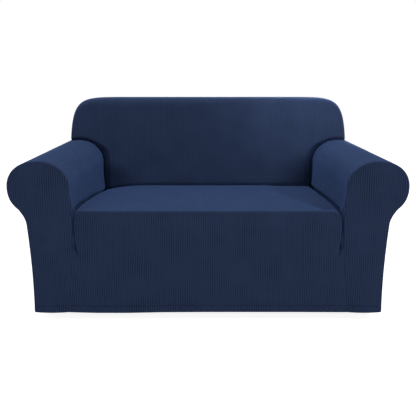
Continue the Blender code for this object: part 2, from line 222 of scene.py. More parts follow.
def knit_material():
    """Ribbed navy knit: a light crown on each rib and painted shade in its groove, stronger or weaker in
    slow random patches over the cloth, and three columns of stitches to a rib. The pattern lies on the
    cloth's own map, in metres."""
    material = bpy.data.materials.new("ribbed_knit")
    material.use_nodes = True
    tree = material.node_tree
    shader = tree.nodes["Principled BSDF"]
    shader.inputs["Sheen Weight"].default_value = 0.8
    shader.inputs["Sheen Roughness"].default_value = 0.35
    shader.inputs["Sheen Tint"].default_value = SHEEN_COLOUR
    shader.inputs["Specular IOR Level"].default_value = 0.06
    place = tree.nodes.new("ShaderNodeUVMap")
    place.uv_map = "cloth"
    parts = tree.nodes.new("ShaderNodeSeparateXYZ")
    tree.links.new(place.outputs["UV"], parts.inputs[0])
    across, along = parts.outputs["X"], parts.outputs["Y"]

    def worked(operation, *values):
        """Output of one Math node over these values or sockets."""
        node = tree.nodes.new("ShaderNodeMath")
        node.operation = operation
        for slot, value in zip(node.inputs, values):
            if isinstance(value, (int, float)):
                slot.default_value = value
            else:
                tree.links.new(value, slot)
        return node.outputs[0]

    def waves(value, pitch):
        """|sin|, once a pitch."""
        return worked("ABSOLUTE", worked("SINE", worked("MULTIPLY", value, math.pi / pitch)))

    def clouds(scale, detail):
        """Soft noise over the cloth."""
        node = tree.nodes.new("ShaderNodeTexNoise")
        node.inputs["Scale"].default_value = scale
        node.inputs["Detail"].default_value = detail
        tree.links.new(place.outputs["UV"], node.inputs["Vector"])
        return node.outputs["Fac"]

    def mixed(fraction, first, second):
        """Colour between two, by this fraction."""
        node = tree.nodes.new("ShaderNodeMix")
        node.data_type = "RGBA"
        tree.links.new(fraction, node.inputs[0])
        for slot, value in ((node.inputs[6], first), (node.inputs[7], second)):
            if isinstance(value, tuple):
                slot.default_value = (*value, 1.0)
            else:
                tree.links.new(value, slot)
        return node.outputs[2]

    # Painted shade: the colour darkens towards near-black down into each groove, by an amount that the
    # noise patches raise or lower
    depth = worked("SUBTRACT", 1.0, worked("POWER", waves(across, RIB_PITCH), GROOVE_POWER))
    patches = worked("MULTIPLY_ADD", clouds(PATCH_SCALE, 2.0), PATCH_GAIN, PATCH_SHIFT)
    wale = waves(across, RIB_PITCH / WALES_TO_A_RIB)
    course = waves(worked("MULTIPLY_ADD", wale, COURSE_SLANT * COURSE_PITCH, along), COURSE_PITCH)
    stitch = worked("MULTIPLY", worked("SQRT", wale), worked("MULTIPLY_ADD", course, 0.5, 0.5))
    colour = mixed(worked("MULTIPLY", depth, patches), CROWN_COLOUR, GROOVE_SHADE_COLOUR)
    tree.links.new(colour, shader.inputs["Base Color"])
    roughness = worked("MULTIPLY_ADD", stitch, -STITCH_SMOOTHER, GAP_ROUGHNESS)
    tree.links.new(roughness, shader.inputs["Roughness"])
    bump = tree.nodes.new("ShaderNodeBump")
    bump.inputs["Strength"].default_value = 0.6
    bump.inputs["Distance"].default_value = STITCH_HEIGHT
    tree.links.new(stitch, bump.inputs["Height"])
    tree.links.new(bump.outputs["Normal"], shader.inputs["Normal"])
    return material


knit = knit_material()


def placed(name, data):
    """A new object of this data, put into the scene."""
    piece = bpy.data.objects.new(name, data)
    bpy.context.scene.collection.objects.link(piece)
    return piece


def cloth_object(name, points, faces, cloth, mirrored=False, reverse=False):
    """The mesh of a panel, with the cloth's map and the knit, riding on the one body."""
    if mirrored != reverse:
        faces = faces[:, ::-1]
    places = (points - UNDER_TOP) * ((-1.0, 1.0, 1.0) if mirrored else (1.0, 1.0, 1.0))
    mesh = bpy.data.meshes.new(name)
    mesh.from_pydata(places.tolist(), [], faces.tolist())
    mesh.shade_smooth()
    layer = mesh.uv_layers.new(name="cloth")
    corners = np.empty(len(mesh.loops), np.int32)
    mesh.loops.foreach_get("vertex_index", corners)
    layer.data.foreach_set("uv", cloth[corners].astype(np.float32).ravel())
    mesh.materials.append(knit)
    piece = placed(name, mesh)
    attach(piece, "root")
    return piece


def knit_sheet(
    name, grid, ribs, relief=0.0, edges=(), hem=False, mirrored=False, reverse=False, lap=SEAM_LAP
):
    """A panel on a grid of points. ribs gives each column's place across the ribs; each point goes in by
    the ribs' grooves and by relief. Edges named in edges are turned in, and a hem is folded up inside."""
    normals = normals_of(grid) * (-1.0 if reverse else 1.0)
    ribs = np.broadcast_to(ribs, grid.shape[:2])
    cloth = np.stack([ribs, lengths_along(grid)], axis=-1)
    points = grid - normals * (RIB_DEPTH * groove(ribs) + relief)[..., None]
    if hem:
        points, normals, cloth = hem_folded(points, normals, cloth)
    for edge in edges:
        points, normals, cloth = turned_in(points, normals, cloth, edge, lap)
    faces = grid_faces(*points.shape[:2])
    return cloth_object(name, points.reshape(-1, 3), faces, cloth.reshape(-1, 2), mirrored, reverse)


def seam_depth(z):
    """How deep the seam between the cushion's front and the arm front lies: a smooth step up beside the
    cushion."""
    return FRONT_SEAM_DEPTH + FRONT_SEAM_DEEPER * smooth((z - FRONT_SEAM_DEEPER_Z) / FRONT_SEAM_DEEPER_RUN)


def cushion_front(across, z):
    """Y of the apron over the cushion's front, from -1 to 1 across: bulging, and turning in at the top."""
    rise = smooth((z - CUSHION_FOOT_Z) / (CUSHION_FULL_Z - CUSHION_FOOT_Z))
    turn_in = CUSHION_TOP_ROUND * smooth((z - CUSHION_FULL_Z) / (SEAT_Z - CUSHION_FULL_Z))
    side = rounding(CREASE_X * (1.0 - np.abs(across)), 1.0, CUSHION_SIDE_ROUND) * seam_depth(z)
    return side - CUSHION_BULGE * (rise - turn_in) * (1.0 - np.abs(across) ** CUSHION_EDGE_POWER)


def crease_x(y):
    """How far from the middle the crease beside an arm is: a straight line, running inwards to the rear."""
    return CREASE_X + CREASE_X_RUN * np.maximum(y, 0.0)


def side_lift(x, y):
    """How far the deck rises above its plane by an arm: a height times the square of the way there."""
    back, left, right, left_reach, right_reach = np.array(SEAT_SIDES).T
    lift = np.where(x > 0, np.interp(y, back, right), np.interp(y, back, left))
    reach = np.where(x > 0, np.interp(y, back, right_reach), np.interp(y, back, left_reach))
    return lift * np.clip(1.0 - (crease_x(y) - np.abs(x)) / reach, 0.0, 1.0) ** 2


def right_valley(x, y):
    """Depth of the fold on the deck's right: a smooth step on its inner side, a plain slope up to the arm,
    and both times how much of the fold is left this far back."""
    valley_x = np.interp(y, *zip(*RIGHT_VALLEY))
    inner = smooth(1.0 - (valley_x - x) / RIGHT_VALLEY_WIDTH)
    outer_width = np.maximum(crease_x(y) - valley_x, RIGHT_VALLEY_OUTER_WIDTH)
    outer = np.clip(1.0 - (x - valley_x) / outer_width, 0.0, 1.0)
    lost = RIGHT_VALLEY_LOSS * smooth((y - RIGHT_VALLEY_LOSS_Y) / RIGHT_VALLEY_LOSS_RUN)
    fade = smooth(y / RIGHT_VALLEY_START) * (1.0 - lost)
    return RIGHT_VALLEY_DEPTH * np.where(x < valley_x, inner, outer) * fade


def side_fall(x, y):
    """How far the deck falls below its plane by an arm: the slot beside the arm, less the deck's rise, and
    the fold."""
    depth = SLOT_FRONT_DEPTH + (SLOT_DEPTH - SLOT_FRONT_DEPTH) * smooth(y / SLOT_DEEPENING)
    return rounding(crease_x(y) - np.abs(x), depth, SLOT_ROUND) - side_lift(x, y) + right_valley(x, y)


def back_y(x, z):
    """Y of the back: a leaning face with a parabola's crown, whose edges turn to the rear as a quarter of a
    full ellipse. How near the edge a point is comes from powers of its shares of the width and height."""
    across = np.abs(x) / BACK_HALF_WIDTH
    up = np.maximum(z - BACK_BASE_Z, 0.0) / (BACK_TOP_Z - BACK_BASE_Z)
    reach = (across**BACK_SIDE_POWER + up**BACK_TOP_POWER) ** (1.0 / BACK_REACH_POWER)
    turn = np.clip((reach - BACK_ROUND_FROM) / (1.0 - BACK_ROUND_FROM), 0.0, 1.0)
    crown = BACK_CROWN * (1.0 - np.minimum(across, 1.0) ** 2)
    face = SEAT_DEPTH + BACK_LEAN * (z - BACK_BASE_Z) - crown
    return REAR_Y - (REAR_Y - face) * (1.0 - turn**BACK_TURN_POWER) ** (1.0 / BACK_TURN_POWER)


seat_ribs = rib_places(-CREASE_X, CREASE_X)
seat_across = seat_ribs[None, :] / CREASE_X
seat_front = cushion_front(seat_across, SEAT_Z) + EDGE_ROUND
seat_rear = back_y(seat_across * CREASE_X, SEAT_Z) + SEAT_REAR_TUCK
seat_rows = rows_over(SEAT_DEPTH, SEAT_STEP, seam_at_start=False)[:, None] / SEAT_DEPTH
seat_y = seat_front + (seat_rear - seat_front) * seat_rows
seat_x = seat_across * (crease_x(seat_y) + SLOT_WIDTH * smooth(seat_y / SLOT_WIDENING))
seat_up = np.clip(seat_y / SEAT_DEPTH, 0.0, 1.0)
seat_z = SEAT_Z + SEAT_REAR_RISE * seat_up + SEAT_CROWN * (1.0 - seat_across**2) * np.sin(math.pi * seat_up)
seat_z = seat_z - side_fall(seat_x, seat_y) - rounding(seat_rear - seat_y, SEAT_REAR_DEPTH, SEAT_REAR_ROUND)
seat_grid = np.stack([seat_x, seat_y, seat_z], axis=-1)
seat_deck = knit_sheet("seat_deck_cloth", seat_grid, seat_ribs, edges=("start", "end", "left", "right"))
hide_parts("seat_deck")


# ---- Front apron
# The cloth over the cushion's front and the sofa's base, down to a turned-up, machine-stitched hem. It
# bulges with the cushion, creases where the cushion meets the arms, and hangs a little low on the left.

HEM_Z = 0.040
HEM_DEPTH = 0.026
HEM_FOLD = 0.0024
HEM_RAISE = 0.0007
HEM_RAISE_RUN = 0.004
HEM_STITCH_DEPTH = 0.0009
HEM_STITCH_WIDTH = 0.0018
HEM_ROWS = (-0.0035, -0.0018, -0.0009, 0.0, 0.0009, 0.0018, 0.0035)
HEM_ROWS_CLEAR = 0.006
HEM_PANEL_STEP = 0.012
APRON_HEM_X = 0.563
APRON_SEAM_CURVE = 1.5
CUSHION_OVERHANG = 0.010
CUSHION_OVERHANG_DEPTH = 0.020
TURN_STEPS = 6
DECK_FALL_RUN = 0.03
APRON_LAP = 0.014

# How far the apron's hem hangs below its line: place from the left seam (-1) to the right (1), drop
HEM_SAGS = (
    (-1.00, 0.001),
    (-0.80, 0.004),
    (-0.58, 0.004),
    (-0.32, 0.001),
    (0.00, 0.000),
    (0.60, 0.000),
    (1.00, 0.001),
)

# Tail of the crease beside the cushion: height, distance from the middle, depth
CREASE_TAIL = (
    (0.262, 0.516, 0.000),
    (0.280, 0.520, 0.008),
    (0.305, 0.525, 0.015),
    (0.330, 0.529, 0.017),
    (0.360, 0.532, 0.015),
    (0.390, 0.533, 0.008),
    (0.420, 0.532, 0.000),
)
CREASE_TAIL_WIDTH = 0.0070


def seam_x(z):
    """Seam between the apron and an arm front: the crease beside the seat, an overhang that levels off
    exponentially, and a power of the way down to the hem."""
    fall = np.maximum(SEAT_Z - z, 0.0)
    overhang = CUSHION_OVERHANG * (1.0 - np.exp(-fall / CUSHION_OVERHANG_DEPTH))
    spread = APRON_HEM_X - CREASE_X - CUSHION_OVERHANG
    return CREASE_X + overhang + spread * (fall / (SEAT_Z - HEM_Z)) ** APRON_SEAM_CURVE


def hem_drop(across, z):
    """How much lower the front hangs here: the hem's sag, times the share of the way down to the hem from
    the cushion's foot."""
    place, drop = zip(*HEM_SAGS)
    down = np.clip((CUSHION_FOOT_Z - z) / (CUSHION_FOOT_Z - HEM_Z), 0.0, 1.0)
    return np.interp(across, place, drop) * down


def hem_relief(above):
    """At this height above the hem's edge: the hem is raised, with a groove along its stitches."""
    off_line = (above - HEM_DEPTH) / HEM_STITCH_WIDTH
    raised = HEM_RAISE * smooth((HEM_DEPTH - above) / HEM_RAISE_RUN)
    return HEM_STITCH_DEPTH * np.exp(-off_line * off_line) - raised


def hem_folded(points, normals, cloth):
    """The grid with its hem folded up inside: three more rows before the first."""
    inside, bottom = points[:1] - HEM_FOLD * normals[:1], points[:1] - 0.5 * HEM_FOLD * normals[:1]
    rows = [inside + (0.0, 0.0, HEM_DEPTH), inside, bottom - (0.0, 0.0, 0.3 * HEM_FOLD), points]
    lengths = [(0.0, HEM_DEPTH + HEM_FOLD), (0.0, HEM_FOLD), (0.0, 0.5 * HEM_FOLD)]
    maps = [cloth[:1] - length for length in lengths] + [cloth]
    return np.concatenate(rows), np.concatenate([normals[:1]] * 3 + [normals]), np.concatenate(maps)


def heights_from_hem(top, step, seam_at_top=True):
    """Heights from the hem to a panel's top, with rows close together along the hem's stitches."""
    heights = HEM_Z + rows_over(top - HEM_Z, step, seam_at_end=seam_at_top)
    stitches = HEM_Z + HEM_DEPTH + np.array(HEM_ROWS)
    clear = np.abs(heights - HEM_Z - HEM_DEPTH) > HEM_ROWS_CLEAR
    return np.sort(np.concatenate([heights[clear], stitches]))


apron_top = SEAT_Z - EDGE_ROUND
apron_face = heights_from_hem(apron_top, HEM_PANEL_STEP, seam_at_top=False)
apron_turn = np.linspace(0.0, math.pi / 2, TURN_STEPS + 1)[1:]
apron_rows = np.concatenate([apron_face, apron_top + EDGE_ROUND * np.sin(apron_turn)])[:, None]
apron_turn_y = np.concatenate([0.0 * apron_face, EDGE_ROUND * (1.0 - np.cos(apron_turn))])[:, None]
apron_near_top = smooth((apron_rows - apron_top + DECK_FALL_RUN) / DECK_FALL_RUN)
apron_fall = side_fall(seat_across * CREASE_X, 0.0) * apron_near_top
apron_x = seat_across * seam_x(apron_rows)
apron_y = cushion_front(seat_across, apron_rows) + apron_turn_y
tail_z, tail_x, tail_depth = zip(*CREASE_TAIL)
off_tail = (np.abs(apron_x) - np.interp(apron_rows, tail_z, tail_x)) / CREASE_TAIL_WIDTH
apron_y = apron_y + np.interp(apron_rows, tail_z, tail_depth) * np.exp(-off_tail * off_tail)
apron_z = apron_rows - hem_drop(seat_across, apron_rows) - apron_fall
apron_grid = np.stack([apron_x, apron_y, apron_z], axis=-1)
apron_relief = hem_relief(apron_rows - HEM_Z) + 0.0 * apron_x
front_apron = knit_sheet(
    "front_apron_cloth",
    apron_grid,
    seat_ribs,
    apron_relief,
    edges=("left", "right"),
    hem=True,
    lap=APRON_LAP,
)
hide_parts("front_apron")


# ---- Inside arms
# From the tuck beside the seat, up and over the rolled arm to the seam in the hollow under the roll, with
# the ribs running up and over. Behind, each is sewn to the inside back and then to the outside back.

ROLL_X = 0.659
ROLL_X_RUN = -0.040
ROLL_Z = 0.548
ROLL_Z_RUN = 0.039
ROLL_OUTER_WIDTH = 0.126
ROLL_INNER_WIDTH = 0.119
ROLL_HALF_HEIGHT = 0.105
ROLL_HALF_DEPTH = 0.111
ROLL_OUTER_POWER = 2.2
ROLL_INNER_POWER = 2.0
ROLL_LOWER_ANGLE = math.radians(-48)
NECK_X = 0.716
NECK_Z = 0.404
NECK_X_RUN = -0.020
NECK_Z_RUN = 0.030
NECK_BEND = 0.45
NECK_BEND_OUT = 0.004
FOOT_BELOW_CREASE = -0.06
FOOT_DROP = 0.014
FOOT_RECESS = 0.013
FOOT_RECESS_ROUND = 0.013
FOOT_RECESS_LOWER = 0.002
FOOT_RECESS_RUN = 0.03
FOOT_RECESS_REACH = 0.2
FACE_SHARE = 0.16
NECK_SHARE = 0.87
ARM_GIRTH = 0.64
ARM_TUCK = 0.036
ARM_END_FALL = 0.010
ARM_END_ROUND = 0.042
ARM_STEP = 0.011
ARM_EXTRA_FROM = 0.0275
ARM_EXTRA_TO = 0.12
ARM_SAMPLES = 901
SIDES = (("left", True), ("right", False))


def roll_point(angle, y):
    """Point of the roll's section at this angle, up from outboard: an ellipse, fuller outboard."""
    outboard = np.cos(angle) > 0
    power = 2.0 / np.where(outboard, ROLL_OUTER_POWER, ROLL_INNER_POWER)
    half_x = np.where(outboard, ROLL_OUTER_WIDTH, ROLL_INNER_WIDTH)
    half_z = np.where(np.sin(angle) > 0, ROLL_HALF_HEIGHT, ROLL_HALF_DEPTH)
    x = np.sign(np.cos(angle)) * np.abs(np.cos(angle)) ** power
    z = np.sign(np.sin(angle)) * np.abs(np.sin(angle)) ** power
    return ROLL_X + ROLL_X_RUN * y + half_x * x, ROLL_Z + ROLL_Z_RUN * y + half_z * z


def face_point(part, y):
    """The face beside the seat, from the tuck (0) to the roll (1), which it meets upright."""
    foot_z = SEAT_Z + SEAT_REAR_RISE * y / SEAT_DEPTH - FOOT_DROP
    top_x, top_z = roll_point(math.pi, y)
    lean = 1.0 - (1.0 - np.maximum(part, 0.0)) ** 2
    return crease_x(y) + (top_x - crease_x(y)) * lean, foot_z + (top_z - foot_z) * part


def neck_point(part, y):
    """The hollow under the roll, from the roll (0) to the seam (1): a curve of second degree."""
    start_x, start_z = roll_point(ROLL_LOWER_ANGLE, y)
    end_x, end_z = NECK_X + NECK_X_RUN * y, NECK_Z + NECK_Z_RUN * y
    bend_z = end_z + NECK_BEND * (start_z - end_z)
    x = (1 - part) ** 2 * start_x + 2 * part * (1 - part) * (end_x + NECK_BEND_OUT) + part**2 * end_x
    return x, (1 - part) ** 2 * start_z + 2 * part * (1 - part) * bend_z + part**2 * end_z


def arm_section(share, y):
    """Point of the arm's section: the face, the roll and the neck, each over its share of 0 to 1."""
    face = face_point(np.minimum(share / FACE_SHARE, 1.0), y)
    turned = np.clip((share - FACE_SHARE) / (NECK_SHARE - FACE_SHARE), 0.0, 1.0)
    roll = roll_point(math.pi + (ROLL_LOWER_ANGLE - math.pi) * turned, y)
    neck = neck_point(np.clip((share - NECK_SHARE) / (1.0 - NECK_SHARE), 0.0, 1.0), y)
    kinds = [share < FACE_SHARE, share < NECK_SHARE]
    axes = zip(face, roll, neck)
    return [np.select(kinds, [on_face, on_roll], on_neck) for on_face, on_roll, on_neck in axes]


arm_ribs = rib_places(EDGE_ROUND, REAR_Y - EDGE_ROUND)
arm_shares = np.linspace(FOOT_BELOW_CREASE, 1.0, ARM_SAMPLES)[:, None]
arm_shares = np.broadcast_to(arm_shares, (ARM_SAMPLES, len(arm_ribs)))
arm_x, arm_z = arm_section(arm_shares, arm_ribs)
arm_met = np.maximum.accumulate(back_y(arm_x, arm_z) + ARM_TUCK, axis=0)
arm_columns = zip(arm_ribs, arm_met.T, arm_shares.T)
arm_starts = np.array([np.interp(y, met, shares) for y, met, shares in arm_columns])
arm_shares = arm_starts + (1.0 - arm_starts) * np.linspace(0.0, 1.0, ARM_SAMPLES)[:, None]
arm_x, arm_z = arm_section(arm_shares, arm_ribs)
arm_lines = np.stack([arm_x, np.broadcast_to(arm_ribs, arm_x.shape), arm_z], axis=-1)
arm_extra = np.arange(ARM_EXTRA_FROM, ARM_EXTRA_TO, ARM_STEP)
arm_rows = np.sort(np.concatenate([rows_over(ARM_GIRTH, ARM_STEP), arm_extra]))
arm_grid = resampled(arm_lines, arm_rows / ARM_GIRTH)
arm_y = arm_grid[..., 1]
arm_to_back = back_y(arm_grid[..., 0], arm_grid[..., 2]) + ARM_TUCK - arm_y
arm_relief = rounding(arm_to_back, ARM_END_FALL, ARM_END_ROUND) + seam_valley(ARM_GIRTH - arm_rows)[:, None]
arm_near_foot = arm_rows[:, None] < FOOT_RECESS_REACH
for side, mirrored in SIDES:
    arm_lift = side_lift(crease_x(arm_y) * (-1) ** mirrored, arm_y)
    arm_above_deck = arm_grid[..., 2] - (SEAT_Z + SEAT_REAR_RISE * arm_y / SEAT_DEPTH + arm_lift)
    arm_recess = rounding(arm_above_deck + FOOT_RECESS_LOWER, FOOT_RECESS, FOOT_RECESS_ROUND)
    arm_recess = arm_recess * smooth((arm_y - EDGE_ROUND) / FOOT_RECESS_RUN) * arm_near_foot
    inside_arm = knit_sheet(
        f"inside_arm_{side}_cloth",
        arm_grid,
        arm_ribs,
        arm_relief + arm_recess,
        edges=("start", "end", "left", "right"),
        mirrored=mirrored,
        reverse=True,
    )
    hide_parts(f"inside_arm_{side}")


# ---- Outside arms
# From the seam in the hollow under the roll straight down to the hem, and from the arm front to the back.

ARM_HEM_X = 0.703
REAR_HEM_X = 0.695
ARM_SIDE_HOLLOW = 0.005


def side_point(part, y):
    """The outside of the arm, from the hem (0) to the seam at the neck (1): straight, less half a sine."""
    top_x, top_z = NECK_X + NECK_X_RUN * y, NECK_Z + NECK_Z_RUN * y
    low_x = ARM_HEM_X + (REAR_HEM_X - ARM_HEM_X) * y / REAR_Y
    low_z = HEM_Z - hem_drop(1.0, HEM_Z) * (1.0 - y / REAR_Y)
    hollow = ARM_SIDE_HOLLOW * np.sin(math.pi * part)
    return low_x + (top_x - low_x) * part - hollow, low_z + (top_z - low_z) * part


side_rows = heights_from_hem(NECK_Z, HEM_PANEL_STEP)[:, None]
side_x, side_z = side_point((side_rows - HEM_Z) / (NECK_Z - HEM_Z), arm_ribs)
side_grid = np.stack([side_x, np.broadcast_to(arm_ribs, side_x.shape), side_z], axis=-1)
side_relief = hem_relief(side_rows - HEM_Z) + seam_valley(NECK_Z - side_rows) + 0.0 * side_x
for side, mirrored in SIDES:
    outside_arm = knit_sheet(
        f"outside_arm_{side}_cloth",
        side_grid,
        arm_ribs,
        side_relief,
        edges=("end", "left", "right"),
        hem=True,
        mirrored=mirrored,
    )
    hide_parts(f"outside_arm_{side}")


# ---- Arm fronts
# Flat panels in the shape of the arm's section, stretched a little full, whose edge turns back to the
# seam all round. Ribs run straight up them.

ARM_FRONT_CROWN = 0.007
ARM_FRONT_TOP = math.radians(45)
ARM_FRONT_STEP = 0.0045
ARM_FRONT_COLUMNS = 150

# Allowance of the turned edge: how far it goes out beside the seat, the height from which it goes in
# instead, how much deeper a wide one lies, and how far a row of the turn moves on the cloth's map
FRONT_TURN_OUT = 0.012
ABOVE_SEAT_Z = 0.435
ABOVE_SEAT_RUN = 0.03
RIM_TUCK = 0.3
RIM_MAP_SHARE = 0.2

# Points along the stretches of an outline, and heights between which its inner corner is eased
FRONT_SEAM_SAMPLES = 120
FRONT_FACE_FROM = 0.02
FACE_SAMPLES = 40
SIDE_SAMPLES = 60
NECK_SAMPLES = 20
ARC_SAMPLES = 200
KINK_FROM_Z = 0.39
KINK_TO_Z = 0.50
KINK_PASSES = 10


def along(points, fractions):
    """Points at these fractions of a line's length."""
    return resampled(np.asarray(points, float)[:, None, :], np.asarray(fractions))[:, 0]


def joined(stretches):
    """One line of points from its stretches, each given as an array for every axis."""
    return np.concatenate([np.stack(stretch, axis=-1) for stretch in stretches])


def outer_outline(y, last_angle):
    """Outer outline of an arm at this distance back: up its side, round the neck, and over the roll to
    this angle."""
    side = side_point(np.linspace(0.0, 1.0, SIDE_SAMPLES), y)
    neck = neck_point(np.linspace(1.0, 0.0, NECK_SAMPLES)[1:], y)
    roll = roll_point(np.linspace(ROLL_LOWER_ANGLE, last_angle, SIDE_SAMPLES)[1:], y)
    return joined([side, neck, roll])


def outline_rows(outline, step):
    """Shares of an outline's length at which its rows stand, close together along the hem's stitches."""
    length = lengths_along(outline)[-1]
    return (heights_from_hem(HEM_Z + length, step, seam_at_top=False) - HEM_Z) / length


def patch_between(bottom, top, left, right, across, up):
    """Four-sided patch blended from its edges; left and right run from bottom to top."""
    u = np.asarray(across)[None, :, None]
    v = np.asarray(up)[:, None, None]
    sides = (1 - u) * left[:, None, :] + u * right[:, None, :]
    ends = (1 - v) * bottom[None, :, :] + v * top[None, :, :]
    corners = (1 - v) * ((1 - u) * bottom[0] + u * bottom[-1])
    return sides + ends - corners - v * ((1 - u) * top[0] + u * top[-1])


def rimmed_sheet(
    name, left, top, right, across, rows, plane_y, crown, radii, turn_out, ribs=None, mirrored=False
):
    """A flat panel whose edge turns back to its seam. left and right run up its outline at the fractions
    in rows, and top runs over it. It stands at plane_y, swelled by crown, and radii gives the radius of
    the turn at each point of the outline, and turn_out how far its allowance goes outwards there. Without
    ribs, its ribs run straight up."""
    outline = np.concatenate([left, top[1:], right[-2::-1]])
    step = np.gradient(outline, axis=0)
    out = np.stack([-step[:, 1], step[:, 0]], axis=-1) / np.linalg.norm(step, axis=-1, keepdims=True)
    inner = outline - radii[:, None] * out
    count, columns = len(left), len(top)
    inner_left, inner_right = inner[:count], inner[-count:][::-1]
    bottom = inner_left[0] + (inner_right[0] - inner_left[0]) * across[:, None]
    inner_top = inner[count - 1 : count - 1 + columns]
    flat = patch_between(bottom, inner_top, inner_left, inner_right, across, rows)
    facing = -1.0 if plane_y < UNDER_TOP[1] else 1.0
    swell = crown * 4.0 * across * (1.0 - across) * (1.0 - rows[:, None] ** 4)
    grid = np.stack([flat[..., 0], plane_y + facing * swell, flat[..., 1]], axis=-1)
    normals = normals_of(grid) * -facing
    planar = ribs is None
    ribs = flat[..., 0] if planar else np.broadcast_to(ribs, flat.shape[:2])
    relief = RIB_DEPTH * groove(ribs, 1.0 if planar else 0.5) + hem_relief(flat[..., 1] - HEM_Z)
    cloth = np.stack([ribs, flat[..., 1]], axis=-1)
    points, _, maps = hem_folded(grid - normals * relief[..., None], normals, cloth)

    # Its turned edge: rows of points round the outline, from the flat to the seam, then inside
    number = 3 * columns + np.arange(count * columns).reshape(count, columns)
    loops = [np.concatenate([number[:, 0], number[-1, 1:], number[-2::-1, -1]])]
    rim_relief = relief.ravel()[loops[0] - 3 * columns][:, None]
    rim_cloth = cloth.reshape(-1, 2)[loops[0] - 3 * columns]
    out = np.stack([out[:, 0], 0.0 * out[:, 0], out[:, 1]], axis=-1)
    base = np.stack([inner[:, 0], np.full(len(inner), plane_y), inner[:, 1]], axis=-1)
    outwards = np.array((0.0, facing, 0.0))
    radii, turn_out = radii[:, None], turn_out[:, None]
    parts, rim_maps = [points.reshape(-1, 3)], [maps.reshape(-1, 2)]
    for turn in np.linspace(0.0, math.pi / 2, TURN_STEPS + 1)[1:]:
        normal = math.cos(turn) * outwards + math.sin(turn) * out
        place = base + radii * (math.sin(turn) * out - (1.0 - math.cos(turn)) * outwards)
        parts.append(place - normal * rim_relief * math.cos(turn))
    parts.append(parts[-1] + turn_out * out - (SEAM_LAP + RIM_TUCK * np.abs(turn_out)) * outwards)
    first = points.shape[0] * columns
    for index in range(TURN_STEPS + 1):
        loops.append(first + index * len(inner) + np.arange(len(inner)))
        rim_maps.append(rim_cloth + RIM_MAP_SHARE * index * radii * out[:, [0, 2]])
    faces = [grid_faces(*points.shape[:2])]
    for near, far in zip(loops, loops[1:]):
        faces.append(np.stack([near[:-1], near[1:], far[1:], far[:-1]], axis=-1))
    whole = [np.concatenate(group) for group in (parts, faces, rim_maps)]
    return cloth_object(name, *whole, mirrored, reverse=facing > 0)


front_seam_z = np.linspace(HEM_Z, SEAT_Z, FRONT_SEAM_SAMPLES)
front_near_seat = smooth((front_seam_z - SEAT_Z + DECK_FALL_RUN) / DECK_FALL_RUN)
front_seam_fall = hem_drop(1.0, front_seam_z) + FOOT_DROP * front_near_seat
front_roll_angles = np.linspace(math.pi, math.pi - ARM_FRONT_TOP, FACE_SAMPLES)[1:]
front_inner = joined([
    (seam_x(front_seam_z), front_seam_z - front_seam_fall),
    face_point(np.linspace(FRONT_FACE_FROM, 1.0, FACE_SAMPLES), 0.0),
    roll_point(front_roll_angles, 0.0),
])
front_outer = outer_outline(0.0, ARM_FRONT_TOP)
front_rows = outline_rows(front_inner, ARM_FRONT_STEP)
front_across = np.linspace(0.0, 1.0, ARM_FRONT_COLUMNS)
front_left, front_right = along(front_inner, front_rows), along(front_outer, front_rows)

# The inner corner is eased: each point moves to half of itself and a quarter of each neighbour, repeatedly
front_kink = (front_left[:, 1] > KINK_FROM_Z) & (front_left[:, 1] < KINK_TO_Z)
for _ in range(KINK_PASSES):
    front_eased = 0.25 * front_left[:-2] + 0.5 * front_left[1:-1] + 0.25 * front_left[2:]
    front_left[1:-1] = np.where(front_kink[1:-1, None], front_eased, front_left[1:-1])
front_arc = np.linspace(math.pi - ARM_FRONT_TOP, ARM_FRONT_TOP, ARC_SAMPLES)
front_top = along(np.stack(roll_point(front_arc, 0.0), axis=-1), front_across)
front_above = smooth((front_left[:, 1] - ABOVE_SEAT_Z) / ABOVE_SEAT_RUN)
front_radii = np.full(2 * len(front_rows) + ARM_FRONT_COLUMNS - 2, EDGE_ROUND)
front_radii[: len(front_rows)] += (seam_depth(front_left[:, 1]) - EDGE_ROUND) * (1.0 - front_above)
front_turn_out = np.full(len(front_radii), -SEAM_ALLOWANCE)
front_turn_out[: len(front_rows)] += (SEAM_ALLOWANCE + FRONT_TURN_OUT) * (1.0 - front_above)
for side, mirrored in SIDES:
    arm_front = rimmed_sheet(
        f"arm_front_{side}_cloth",
        front_left,
        front_top,
        front_right,
        front_across,
        front_rows,
        0.0,
        ARM_FRONT_CROWN,
        front_radii,
        front_turn_out,
        mirrored=mirrored,
    )
    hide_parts(f"arm_front_{side}")


# ---- Inside back
# The face that one leans on, stretched over the top and round the sides of the back. Ribs run up it and
# over the top. It is drawn into a crease along the arms and the seat.

BACK_IN_ARM = 0.022
BACK_RIB_FAN = 0.2
BACK_RIB_HELD_FROM = 0.30
BACK_RIB_HELD_RUN = 0.66
BACK_SEAM_MARGIN = 0.0015
BACK_SECTION_Z = 0.65
BACK_STEP = 0.008
BACK_SAMPLES = 601
SECTION_SAMPLES = 4001
HALVINGS = 60

# Low end: how far under the seat, where it rises over the arms, and the height that its search starts at
BACK_SEAT_TUCK = 0.053
BACK_OVER_ARM_X = 0.500
BACK_OVER_ARM_RUN = 0.060
BACK_LOW_GUESS = 0.6
BACK_LOW_PASSES = 6

# Crease along an arm: depth over the roll and beside it, width likewise, and where the two meet
BACK_CREASES = ((0.022, 0.045), (0.018, 0.040))
BACK_BESIDE_Z = 0.685
BACK_BESIDE_RUN = 0.060
BACK_CREASE_POWER = 1.7
BACK_FOOT_DEPTH = 0.010
BACK_FOOT_ROUND = 0.018
BACK_FOOT_LOWER = 0.003
BACK_SEAT_X = 0.505

# Hollows at the lower corners: side, depth, how far in and up they reach; then the corner's place
BACK_HOLLOWS = ((-1, 0.032, 0.160, 0.140), (1, 0.062, 0.200, 0.170))
BACK_CORNER_X = 0.51
BACK_CORNER_Z = 0.45
BACK_HEIGHT = 0.52


